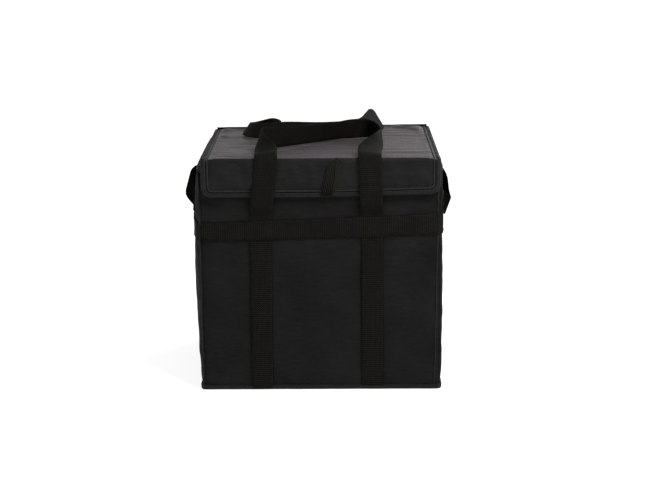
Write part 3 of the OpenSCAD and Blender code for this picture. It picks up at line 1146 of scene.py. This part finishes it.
def lid_bindings():
    """The tape bound round the lid and its flap, a ridge along its inner fold in a lighter tape colour as a
    painted highlight, and its stitches.
    """
    edge = panel_edge()
    middle, above = [], []
    for x, s in edge:
        shift = 0.5 * MM * wobble(x * 30, s * 30, 5)
        middle.append(panel_point(x, s, shift))
        above.append(panel_point(x, s, shift + 1 * MM) - panel_point(x, s, shift))
    middle, above = np.array(middle), np.array([unit(v) for v in above])
    tangent = np.gradient(middle, axis=0)
    outs = np.array([unit(np.cross(t, a)) for t, a in zip(tangent, above)])
    if outs[5][0] > 0:
        outs = -outs
    hang = np.array([1.5 * MM * clamp((LID_RUN - s) / (30 * MM)) for x, s in edge])
    path = middle - outs * 1.2 * MM - above * hang[:, None]
    piece = rod("lid_binding_tape", path, outs, above, 4.6 * MM, 4.1 * MM, "binding", power=2.4)
    # A real ridge of relief along the tape's inner fold, coloured in the lighter tape as a painted
    # highlight.
    ridge = middle - outs * 8.0 * MM + above * 3.4 * MM
    edge = rod("lid_binding_highlight_ridge", ridge, outs, above, 1.3 * MM, 1.0 * MM, "ridge", power=2)
    flap_bend(edge, "binding")
    flap_bend(piece, "binding", "lid_bindings", "flap_binding")
    top = path - outs * 3.0 * MM + above * 3.4 * MM
    under = path - outs * 3.0 * MM - above * 3.4 * MM
    rows = stitching("lid_stitching", [(top, above), (under, -above)], material="light_thread")
    flap_bend(rows, "binding")


lid_bindings()


def lining():
    """Foil under the lid and behind the flap, one sheet inside the binding."""
    inset = 4 * MM
    cols = int(2 * PANEL_X / (8 * MM))

    def at(run, j):
        s = inset + (PANEL_RUN - 2 * inset) * run / PANEL_RUN
        half = panel_half_width(min(s + inset, PANEL_RUN)) - inset
        x = half * (2 * j / cols - 1)
        depth = -panel_lift(x, s, -1)
        crease = 0.5 * abs(wobble(x * 40, s * 40, 0, 31)) + 0.25 * abs(wobble(x * 90, s * 90, 1, 31))
        return panel_point(x, s, depth + 0.5 * MM), panel_point(x, s, depth - (0.15 + crease) * MM)

    verts, faces = grid_of(panel_runs(8 * MM), range(cols + 1), at)
    piece = add_mesh("lid_lining", verts, faces, "foil")
    flap_bend(piece, "foil_liner", "lid_liner", "flap_liner")


lining()


def tape(name, node, body, material, y, way, thick):
    """Hook or loop tape: a flat strip at y, its raised and slightly uneven face turned by way."""
    low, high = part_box(node)
    rows, cols = 10, 48

    def at(i, j):
        z = low[2] + (high[2] - low[2]) * i / rows
        x = low[0] + (high[0] - low[0]) * j / cols
        edge = min(i, rows - i, j, cols - j)
        rise = thick * (0.55 if edge == 0 else 1.0) + 0.12 * MM * wobble(x * 90, z * 90, 1)
        return (x, y + way * rise, z), (x, y - way * 0.3 * MM, z)

    verts, faces = grid_of(range(rows + 1), range(cols + 1), at)
    ride(add_mesh(name, verts, faces, material), body, node, node)


tape("hook_tape_strip", "hook_tape", "flap", "hooks", FLAP_BACK + 0.9 * MM, 1, 1.1 * MM)
WALL_FRONT = -HALF_D - surface("front", 0, FLAP_LOW + 20 * MM)
tape("loop_tape_strip", "loop_tape", "carcass", "loops", WALL_FRONT, -1, 1.0 * MM)


def hinge_cloth():
    """The cloth strip that the lid swings on, from the back wall over to the lid's back edge."""
    profile = smooth_path(
        [
            (0, HALF_D + 2.6 * MM, WALL_TOP - 22 * MM),
            (0, HALF_D + 2.7 * MM, WALL_TOP - 10 * MM),
            (0, HALF_D + 2.6 * MM, LID_LOW + 3 * MM),
            (0, HALF_D + 1.4 * MM, LID_TOP - 2.5 * MM),
            (0, HALF_D - 4 * MM, LID_TOP + 0.2 * MM),
            (0, HALF_D - 12 * MM, LID_TOP + 1.0 * MM),
        ],
        2.5 * MM,
    )
    reach = LID_X - 5 * MM
    tangent = np.gradient(profile, axis=0)

    def at(i, x):
        p, n = profile[i], unit(np.cross([1, 0, 0], tangent[i]))
        ripple = n * 0.3 * MM * wobble(x * 50, p[2] * 30, 3)
        high_up = clamp((p[2] - WALL_TOP) / (LID_TOP - WALL_TOP))
        place = p + [x + lid_skew(x, 0) * high_up, 0, lid_warp(x, p[1]) * high_up] + ripple
        return place - n * 0.4 * MM, place + n * 0.4 * MM

    verts, faces = grid_of(range(len(profile)), np.linspace(-reach, reach, 80), at)
    piece = add_mesh("hinge_cloth", verts, faces, "cover")
    length = lengths(profile)[-1]
    start = (0, HALF_D + 2.6 * MM, LID_LOW + 4 * MM)
    end = (0, HALF_D - 6 * MM, LID_TOP + 0.4 * MM)
    blend(piece, ("carcass", "lid"), start, end, "cover_fabric", "hinge_strip")
    z = WALL_TOP - 19 * MM
    xs = np.linspace(-reach, reach, 60)
    return [([(x, HALF_D + 3.1 * MM, z) for x in xs], (0, 1, 0))]


stitch_rows += hinge_cloth()


# ---------------------------------------------------------------- carrying handles
# Each row holds the strap's outer edge and inner edge, in millimetres, with heights over the lid's top:
# it leaves the waist band, passes the flap, turns over the lid's edge and lies on its edge on the lid.
LEG = [
    (165.9, -108),
    (166.6, -99),
    (171.5, -91),
    (178.5, -80),
    (182.2, -66),
    (183.0, -46),
    (182.8, -26),
    (182.3, -12),
]


def leg_rows(side, hand):
    """A leg, from under the waist band to the lid's edge. The front ones lean a little inward."""
    sy = -1 if side == "front" else 1
    half = WEB_W / MM / 2
    rows = []
    for y, z in LEG:
        up = (z + 108) / 96
        lift = band_shift(hand * 0.09, y * sy * MM, True) / MM * max(1 - 2 * up, 0)
        low, high = FRONT_LEGS[hand] if side == "front" else (hand * STRAP_X / MM,) * 2
        middle = low + (high - low) * up
        along = (middle if side == "front" else -middle) * MM
        wall_y = max(surface(side, along + d * MM, LID_TOP + (z + lift) * MM) for d in (-16, 0, 16))
        y = max(y, (HALF_D + wall_y + WEB_T) / MM)
        rows.append(((middle + hand * half, y * sy, z + lift), (middle - hand * half, y * sy, z + lift)))
    return rows


FRONT_LEGS = {-1: (-99.5, -88), 1: (86.5, 82.5)}
FRONT_TOP = [
    ((-107, -181, -3), (-69, -182, -1)),
    ((-107, -174, 5), (-69.5, -175, 9)),
    ((-107, -160, 5.5), (-70, -158, 13)),
    ((-108, -140, 5), (-76, -142, 22)),
    ((-109, -120, 4.5), (-92, -124, 33)),
    ((-107, -100, 4), (-97, -104, 39)),
    ((-94, -93, 4), (-90, -94, 40)),
    ((-73, -88, 4), (-71, -84, 40)),
    ((-41, -64, 4), (-36, -66, 39)),
    ((-16, -40, 4), (-10, -44, 38)),
    ((10, -16, 4), (10, -28, 37)),
    ((30, 0, 4), (28, -14, 36)),
    ((55, 9, 4), (49, -1, 38)),
    ((75, 16, 4), (70, 9, 38)),
    ((94, 12, 4), (85, 4, 37)),
    ((104, -5, 4), (96, -16, 35)),
    ((106, -38, 4), (101, -46, 34)),
    ((107, -70, 4), (103, -76, 33)),
    ((106, -104, 4), (94, -108, 32)),
    ((104, -126, 4.5), (78, -128, 24.5)),
    ((102.5, -145, 5), (66, -143, 17)),
    ((102, -160, 6), (63.5, -160, 12)),
    ((102, -174, 5), (63.5, -175, 8)),
    ((102, -181.5, -4), (63, -182, -2)),
]
BACK_TOP = [
    ((-112, 181, -2), (-74, 182, 0)),
    ((-111, 175, 5), (-74.5, 176, 10)),
    ((-113, 159, 6), (-80, 157, 17)),
    ((-119, 138, 5), (-91, 134, 22)),
    ((-131, 113, 4.5), (-107, 107, 22)),
    ((-139, 88, 4), (-119, 80, 23)),
    ((-139, 60, 4), (-125, 60, 25.5)),
    ((-134, 38, 4), (-121, 42, 27)),
    ((-122, 20, 4), (-110, 26, 29)),
    ((-100, 10, 4), (-96, 18, 30.5)),
    ((-80, 8, 4), (-78, 16, 31.5)),
    ((-55, 8, 4), (-55, 17, 32.5)),
    ((0, 14, 4), (0, 20, 31)),
    ((50, 26, 4), (48, 28, 32)),
    ((78, 42, 4.5), (70, 54, 33)),
    ((98, 68, 5), (81, 88, 38)),
    ((109, 96, 5), (88, 112, 41)),
    ((115, 120, 5), (96, 126, 37)),
    ((114, 144, 5.5), (92, 144, 29)),
    ((112, 160, 6), (79, 160, 18)),
    ((111, 172, 5.5), (74.5, 173, 9)),
    ((112, 181, -2), (74, 182, 0)),
]


FOOT_END_Z = LID_TOP - 44 * MM  # where a handle's foot passes into its turn
TURN_END_Y = 176.5 * MM  # where the turn passes into the loop, on the lid
OVER_LID_Y = 170 * MM  # the strap lies over the lid inside this distance


def rest_on_lid(curve):
    """Lifts a handle's curve wherever the lid's padding would reach past its lower edge."""
    needed = []
    for x, y, z in curve[:, :3]:
        hit = panel_tree.ray_cast(Vector((x, y, 0.6)), Vector((0, 0, -1)))[0]
        above = hit is not None and abs(y) < OVER_LID_Y and z > LID_TOP - 12 * MM
        needed.append(max(hit[2] + 0.6 * MM - z, 0) if above else 0.0)
    widest = np.array([max(needed[max(i - 4, 0) : i + 5]) for i in range(len(needed))])
    curve[:, [2, 5]] += smoothed(widest, 4)[:, None]
    return curve


def leg_cuts(path):
    """Where the foot and the turn end on the leg at the path's start."""
    leg = path[: len(path) // 2]
    over_lid = (np.abs(leg[:, 1]) < TURN_END_Y) & (leg[:, 2] > LID_TOP)
    return int(np.argmax(leg[:, 2] > FOOT_END_Z)), int(np.argmax(over_lid))


def handle(side, sy, top):
    """One carrying handle, cut where its bodies meet: two feet, two turns and the loop."""
    left, right = leg_rows(side, -1), leg_rows(side, 1)
    rows = np.array([[*a, *b] for a, b in left + top + list(reversed(right))]) * MM
    rows[:, [2, 5]] += LID_TOP + 1 * MM
    curve = rest_on_lid(smooth_path(rows, 2.5 * MM))
    low, high = curve[:, :3], curve[:, 3:]
    middle = (low + high) / 2
    steps = lengths(middle)
    last = len(curve) - 1
    foot_end, turn_end = leg_cuts(middle)
    foot_last, turn_last = (last - cut_at for cut_at in leg_cuts(middle[::-1]))

    def cut(name, first, end):
        return ribbon(name, low[first : end + 1], high[first : end + 1], "loop", start_v=steps[first])

    feet = join(f"{side}_handle_feet", [cut("foot_a", 0, foot_end), cut("foot_b", foot_last, last)])
    blend(
        feet,
        ("carcass", f"{side}_legs"),
        (0, sy * 0.168, BAND_TOP - 2 * MM),
        (0, sy * 0.168, BAND_TOP + 9 * MM),
        "webbing",
        f"{side}_handle_legs",
    )
    turns = join(
        f"{side}_handle_bends", [cut("turn_a", foot_end, turn_end), cut("turn_b", turn_last, foot_last)]
    )
    blend(
        turns,
        (f"{side}_legs", f"{side}_turns"),
        (0, sy * 0.183, LID_TOP - 16 * MM),
        (0, sy * 0.178, LID_TOP + 6 * MM),
        "webbing",
        f"{side}_handle_turns",
    )
    loop = cut(f"{side}_handle_strap", turn_end, turn_last)
    blend(
        loop,
        (f"{side}_turns", f"{side}_loop"),
        (0, sy * 0.177, LID_TOP + 6 * MM),
        (0, sy * 0.148, LID_TOP + 6 * MM),
        "webbing",
        f"{side}_handle_loop",
    )


handle("front", -1, FRONT_TOP)
handle("back", 1, BACK_TOP)


# ---------------------------------------------------------------- side handles
# From front to back: place along the wall, then lower and upper edge as (out from the middle plane,
# height over the sewn ends' lower edge), in millimetres.
RIGHT_GRAB = [
    (-128, (205.0, -4), (205.0, 34)),
    (-112, (205.2, -4), (205.2, 34)),
    (-98, (207.5, -7), (210.0, 31)),
    (-60, (213.5, -18), (224.0, 14)),
    (-20, (216.5, -27), (227.5, 6)),
    (20, (216.5, -26), (227.5, 10)),
    (60, (214.5, -12), (226.5, 28)),
    (98, (208.5, 2), (217.5, 40)),
    (112, (205.2, 1), (205.2, 39)),
    (128, (205.0, 1), (205.0, 39)),
]
LEFT_GRAB = [
    (-128, (205.0, 0), (205.0, 38)),
    (-112, (206.0, 1), (206.0, 39)),
    (-98, (213.0, 6), (210.0, 43)),
    (-60, (229.0, 12), (219.0, 50)),
    (-20, (236.5, 14), (226.0, 52)),
    (20, (237.0, 14), (227.0, 51)),
    (60, (230.0, 11), (223.0, 49)),
    (98, (215.0, 4), (213.0, 42)),
    (112, (206.0, 0), (206.0, 38)),
    (128, (205.0, 0), (205.0, 38)),
]


def grab_curve(side, sx, rows):
    """The handle's two edges as one path, its sewn ends lying on the wall's bulge."""
    out = []
    for y, low, high in rows:
        edge = []
        for wide, z in (low, high):
            height = GRAB_LOW + z * MM
            rest = surface(side, y * MM * (1 if side == "right" else -1), height) + HALF_W + WEB_T
            sewn = 1 - clamp((110 - abs(y)) / 40)
            edge += [sx * max(wide * MM * (1 - sewn) + rest * sewn, wide * MM), y * MM, height]
        out.append(edge)
    return smooth_path(np.array(out), 3 * MM)


def side_handle(side, sx, rows):
    """A side handle in two halves that bend away from their sewn ends. Gives its stitches and end layers."""
    curve = grab_curve(side, sx, rows)
    low, high = curve[:, :3], curve[:, 3:]
    middle = int(np.argmin(np.abs(curve[:, 1])))
    stitches, ends = [], []
    for y, part in ((-1, slice(0, middle + 1)), (1, slice(middle, len(curve)))):
        half = "front" if y < 0 else "back"
        start = 0.0 if y < 0 else lengths(low)[middle]
        piece = ribbon(f"{side}_grab_{half}", low[part], high[part], "grab", start_v=start)
        bend = ((0, y * 0.100, GRAB_LOW), (0, y * 0.078, GRAB_LOW))
        blend(piece, ("carcass", f"{side}_grab"), *bend, "webbing", f"{side}_side_handle")
        sewn = np.abs(curve[:, 1] - y * 0.113) < 0.014
        for share in (0.10, 0.90):
            line = low[sewn] + (high[sewn] - low[sewn]) * share + [sx * 0.55 * WEB_T, 0, 0]
            stitches.append((line, (sx, 0, 0)))
        for at in (0.101, 0.125):
            i = int(np.argmin(np.abs(curve[:, 1] - y * at)))
            across = np.outer(np.linspace(0.1, 0.9, 6), high[i] - low[i])
            line = low[i] + across + [sx * 0.55 * WEB_T, 0, 0]
            stitches.append((line, (sx, 0, 0)))
        out = np.array([sx * WEB_T * 0.9, 0, 0])
        rise = (high[sewn] - low[sewn]) * 0.02
        ends.append(ribbon(f"{side}_end_{half}", low[sewn] - out + rise, high[sewn] - out - rise, "grab"))
    return stitches, ends


right_rows, right_ends = side_handle("right", 1, RIGHT_GRAB)
left_rows, left_ends = side_handle("left", -1, LEFT_GRAB)
stitch_rows += right_rows + left_rows
ride(join("side_handle_ends", right_ends + left_ends), "carcass", "webbing", "side_handle_anchors")


# ---------------------------------------------------------------- ribbon pull tab
# The ribbon's two edges, in millimetres, with heights over the flap's lower edge
TAB_ROWS = [
    ((1.5, -177.0, 8), (19.5, -177.0, 8)),
    ((3, -180.3, 17), (21, -180.3, 17)),
    ((7, -182.2, 36), (24, -182.2, 38)),
    ((10, -183.4, 49), (26, -183.6, 58)),
    ((11, -183.8, 54.5), (27.8, -184.0, 71.5)),
    ((11.8, -182.8, 55), (28.5, -182.6, 72.5)),
    ((15, -181.8, 56), (33, -181.2, 67)),
    ((21, -181.4, 51), (37.5, -180.9, 59)),
    ((24, -181.2, 45), (37, -180.6, 50)),
    ((18, -180.9, 33), (33, -180.3, 37)),
    ((11, -180.0, 20), (27, -179.6, 22)),
    ((5, -176.3, 8), (22, -176.5, 9)),
]


def pull_tab():
    """A folded ribbon, both ends sewn under the flap's lower edge."""
    rows = np.array([[*a, *b] for a, b in TAB_ROWS]) * MM
    rows[:, [2, 5]] += FLAP_LOW
    curve = smooth_path(rows, 1.5 * MM)
    piece = ribbon("pull_ribbon", curve[:, :3], curve[:, 3:], "ribbon", thick=1.1 * MM)
    start = (0, FLAP_FRONT, FLAP_LOW + 8 * MM)
    end = (0, FLAP_FRONT, FLAP_LOW + 18 * MM)
    blend(piece, ("flap", "tab"), start, end, "webbing", "pull_tab")


def flap_stitches():
    """Two rows above the flap's binding, and a zigzag where the lower right corner is turned in."""

    def on_flap(x, z):
        run = LID_RUN + FOLD_RUN + FLAP_TOP - FLAP_LOW - z
        return panel_point(x, run, panel_lift(x, run, 1) + 0.2 * MM)

    rows = []
    for z, first in ((20 * MM, 0.03), (16.5 * MM, 0.0)):
        rows.append(([on_flap(x, z) for x in np.linspace(first, PANEL_X - 24 * MM, 60)], (0, -1, 0)))
    turned = []
    for i in range(9):
        turned.append(on_flap(PANEL_X - (17 if i % 2 else 11) * MM, (13 + 1.6 * i) * MM))
    rows.append((turned, (0, -1, 0)))
    ride(stitching("flap_stitching", rows, 2.4 * MM, 1.3 * MM, "light_thread"), "flap", "binding")


pull_tab()
flap_stitches()

body_stitches = stitching("body_stitching", stitch_rows)
ride(body_stitches, "carcass", "binding")

# ---------------------------------------------------------------- CAD nodes that stay: better materials
for node, material in (("base_foam", "foam"), ("stiffener_board", "board")):
    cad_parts[node].data.materials.clear()
    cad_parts[node].data.materials.append(MATERIALS[material])
